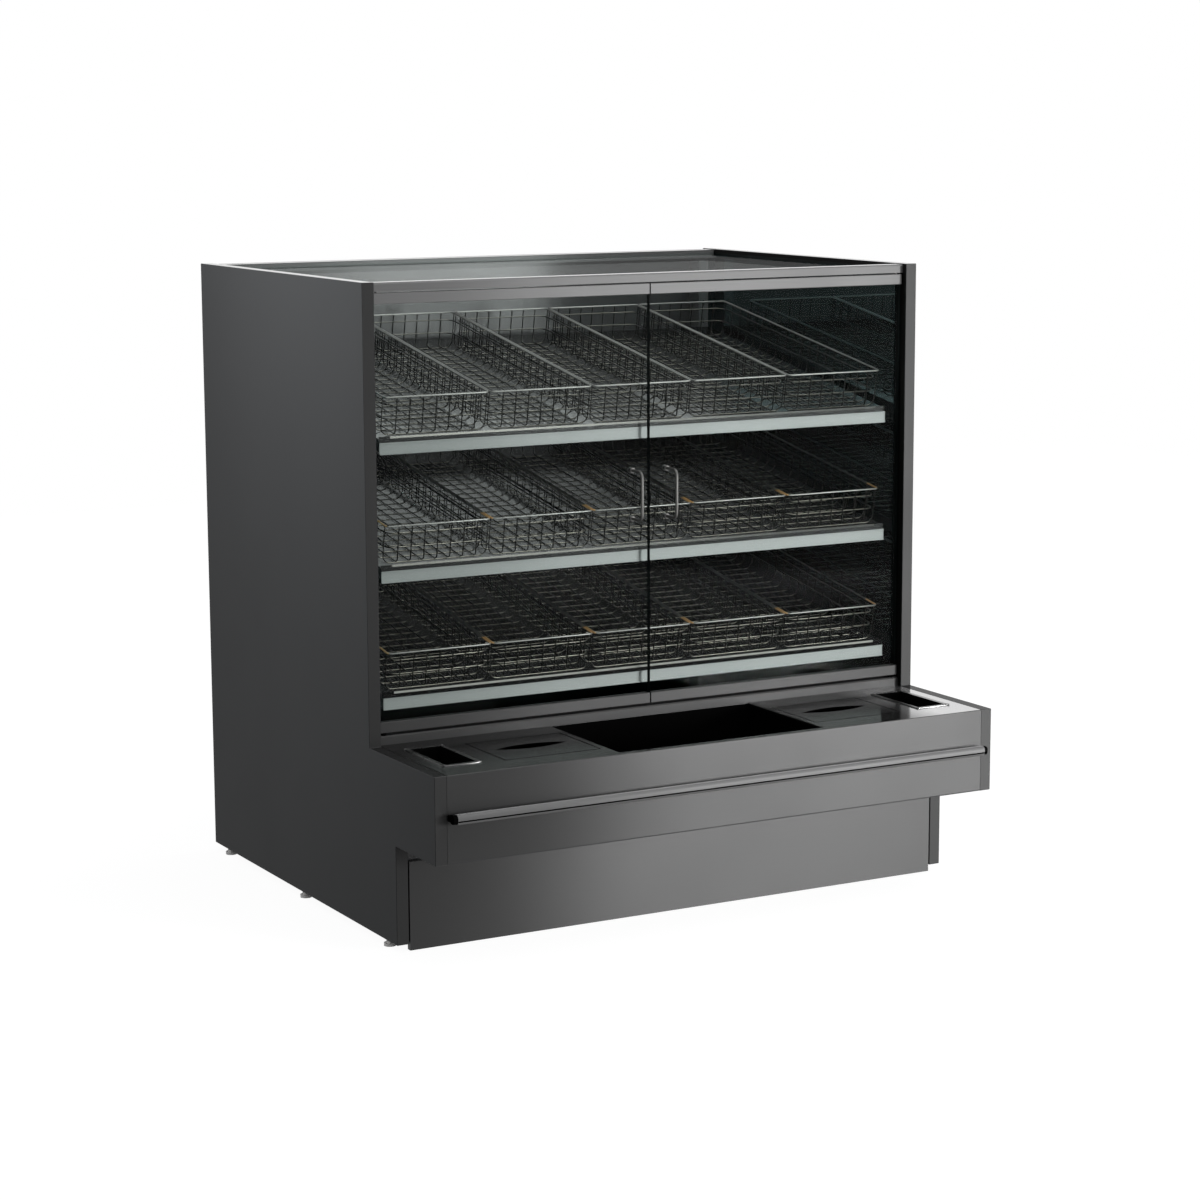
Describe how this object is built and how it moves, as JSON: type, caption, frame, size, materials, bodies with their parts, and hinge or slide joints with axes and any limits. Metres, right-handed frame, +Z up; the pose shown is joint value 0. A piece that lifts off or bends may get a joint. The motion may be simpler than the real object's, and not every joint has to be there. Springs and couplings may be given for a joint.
{
  "type": "self-service display case",
  "caption": "Floor-standing self-service display case with hinged glass doors, sloping shelves of wire baskets, and a front ledge with tong wells, tissue covers and a tray bin.",
  "frame": {"origin": "floor level under the middle of the whole case, at the centre of its width and depth", "axes": "+Z up, -Y to the front where the doors and ledge are, +X to the right seen from the front"},
  "size_m": [1.27, 1.143, 1.28],
  "materials": {
    "charcoal_board": "charcoal laminate, satin",
    "plain_board": "black laminate, matte",
    "dark_liner": "black, high gloss",
    "clear_glass": "clear",
    "satin_rail": "satin anodised",
    "dark_steel": "dark satin brushed",
    "shelf_steel": "black powder coat",
    "strip_metal": "pale satin",
    "basket_wire": "nickel plated wire",
    "steel_bright": "satin",
    "black_plastic": "black, matte",
    "nylon": "natural nylon",
    "zinc_steel": "zinc plated"
  },
  "bodies": {
    "cabinet": {"left_side_panel": "charcoal_board", "right_side_panel": "charcoal_board", "levelling_feet": "zinc_steel", "back_panel": "charcoal_board", "upright_screws": "zinc_steel", "shelf_uprights": "shelf_steel", "side_liners": "dark_liner", "header_rail": "satin_rail", "rear_top_rail": "satin_rail", "top_glass": "clear_glass", "sill_rail": "satin_rail", "pivot_bushes": "nylon", "case_floor": "plain_board", "floor_supports": "plain_board", "bulkhead": "plain_board", "apron_panel": "plain_board", "kick_magnets": "zinc_steel", "ledge_pan": "plain_board", "ledge_sheet": "dark_steel", "ledge_deck": "plain_board", "left_tissue_box": "black_plastic", "right_tissue_box": "black_plastic", "bumper_rail": "satin_rail", "bumper_mounts": "black_plastic", "shelf_brackets": "shelf_steel", "lower_shelf_pan": "shelf_steel", "lower_price_strip": "strip_metal", "middle_shelf_pan": "shelf_steel", "middle_price_strip": "strip_metal", "upper_shelf_pan": "shelf_steel", "upper_price_strip": "strip_metal"},
    "left_door": {"left_door_rails": "satin_rail", "left_door_glass": "clear_glass", "left_door_pins": "steel_bright", "left_door_handle": "steel_bright"},
    "right_door": {"right_door_rails": "satin_rail", "right_door_glass": "clear_glass", "right_door_pins": "steel_bright", "right_door_handle": "steel_bright"},
    "left_cover": {"left_tissue_cover": "dark_steel"},
    "right_cover": {"right_tissue_cover": "dark_steel"},
    "left_well": {"left_tong_well": "steel_bright"},
    "right_well": {"right_tong_well": "steel_bright"},
    "bin": {"tray_bin": "black_plastic"},
    "kick": {"kick_panel": "dark_steel"},
    "lower_basket_1_body": {"lower_basket_1": "basket_wire"},
    "lower_basket_2_body": {"lower_basket_2": "basket_wire"},
    "lower_basket_3_body": {"lower_basket_3": "basket_wire"},
    "lower_basket_4_body": {"lower_basket_4": "basket_wire"},
    "lower_basket_5_body": {"lower_basket_5": "basket_wire"},
    "middle_basket_1_body": {"middle_basket_1": "basket_wire"},
    "middle_basket_2_body": {"middle_basket_2": "basket_wire"},
    "middle_basket_3_body": {"middle_basket_3": "basket_wire"},
    "middle_basket_4_body": {"middle_basket_4": "basket_wire"},
    "middle_basket_5_body": {"middle_basket_5": "basket_wire"},
    "upper_basket_1_body": {"upper_basket_1": "basket_wire"},
    "upper_basket_2_body": {"upper_basket_2": "basket_wire"},
    "upper_basket_3_body": {"upper_basket_3": "basket_wire"},
    "upper_basket_4_body": {"upper_basket_4": "basket_wire"},
    "upper_basket_5_body": {"upper_basket_5": "basket_wire"}
  },
  "joints": [
    {"name": "left_door_hinge", "type": "hinge", "parent": "cabinet", "child": "left_door", "pos_m": [-0.5956, -0.2345, 0.4], "axis": [0, 0, -1], "range_deg": [0, 90]},
    {"name": "right_door_hinge", "type": "hinge", "parent": "cabinet", "child": "right_door", "pos_m": [0.5956, -0.2345, 0.4], "axis": [0, 0, 1], "range_deg": [0, 90]},
    {"name": "left_cover_lift", "type": "slide", "parent": "cabinet", "child": "left_cover", "axis": [0, 0, 1], "range_m": [0, 0.1]},
    {"name": "right_cover_lift", "type": "slide", "parent": "cabinet", "child": "right_cover", "axis": [0, 0, 1], "range_m": [0, 0.1]},
    {"name": "left_well_lift", "type": "slide", "parent": "cabinet", "child": "left_well", "axis": [0, 0, 1], "range_m": [0, 0.14]},
    {"name": "right_well_lift", "type": "slide", "parent": "cabinet", "child": "right_well", "axis": [0, 0, 1], "range_m": [0, 0.14]},
    {"name": "bin_lift", "type": "slide", "parent": "cabinet", "child": "bin", "axis": [0, 0, 1], "range_m": [0, 0.165]},
    {"name": "lower_basket_1_lift", "type": "slide", "parent": "cabinet", "child": "lower_basket_1_body", "axis": [0, 0, 1], "range_m": [0, 0.06]},
    {"name": "lower_basket_2_lift", "type": "slide", "parent": "cabinet", "child": "lower_basket_2_body", "axis": [0, 0, 1], "range_m": [0, 0.06]},
    {"name": "lower_basket_3_lift", "type": "slide", "parent": "cabinet", "child": "lower_basket_3_body", "axis": [0, 0, 1], "range_m": [0, 0.06]},
    {"name": "lower_basket_4_lift", "type": "slide", "parent": "cabinet", "child": "lower_basket_4_body", "axis": [0, 0, 1], "range_m": [0, 0.06]},
    {"name": "lower_basket_5_lift", "type": "slide", "parent": "cabinet", "child": "lower_basket_5_body", "axis": [0, 0, 1], "range_m": [0, 0.06]},
    {"name": "middle_basket_1_lift", "type": "slide", "parent": "cabinet", "child": "middle_basket_1_body", "axis": [0, 0, 1], "range_m": [0, 0.06]},
    {"name": "middle_basket_2_lift", "type": "slide", "parent": "cabinet", "child": "middle_basket_2_body", "axis": [0, 0, 1], "range_m": [0, 0.06]},
    {"name": "middle_basket_3_lift", "type": "slide", "parent": "cabinet", "child": "middle_basket_3_body", "axis": [0, 0, 1], "range_m": [0, 0.06]},
    {"name": "middle_basket_4_lift", "type": "slide", "parent": "cabinet", "child": "middle_basket_4_body", "axis": [0, 0, 1], "range_m": [0, 0.06]},
    {"name": "middle_basket_5_lift", "type": "slide", "parent": "cabinet", "child": "middle_basket_5_body", "axis": [0, 0, 1], "range_m": [0, 0.06]},
    {"name": "upper_basket_1_lift", "type": "slide", "parent": "cabinet", "child": "upper_basket_1_body", "axis": [0, 0, 1], "range_m": [0, 0.06]},
    {"name": "upper_basket_2_lift", "type": "slide", "parent": "cabinet", "child": "upper_basket_2_body", "axis": [0, 0, 1], "range_m": [0, 0.06]},
    {"name": "upper_basket_3_lift", "type": "slide", "parent": "cabinet", "child": "upper_basket_3_body", "axis": [0, 0, 1], "range_m": [0, 0.06]},
    {"name": "upper_basket_4_lift", "type": "slide", "parent": "cabinet", "child": "upper_basket_4_body", "axis": [0, 0, 1], "range_m": [0, 0.06]},
    {"name": "upper_basket_5_lift", "type": "slide", "parent": "cabinet", "child": "upper_basket_5_body", "axis": [0, 0, 1], "range_m": [0, 0.06]},
    {"name": "kick_pull", "type": "slide", "parent": "cabinet", "child": "kick", "axis": [0, -1, 0], "range_m": [0, 0.05]}
  ]
}
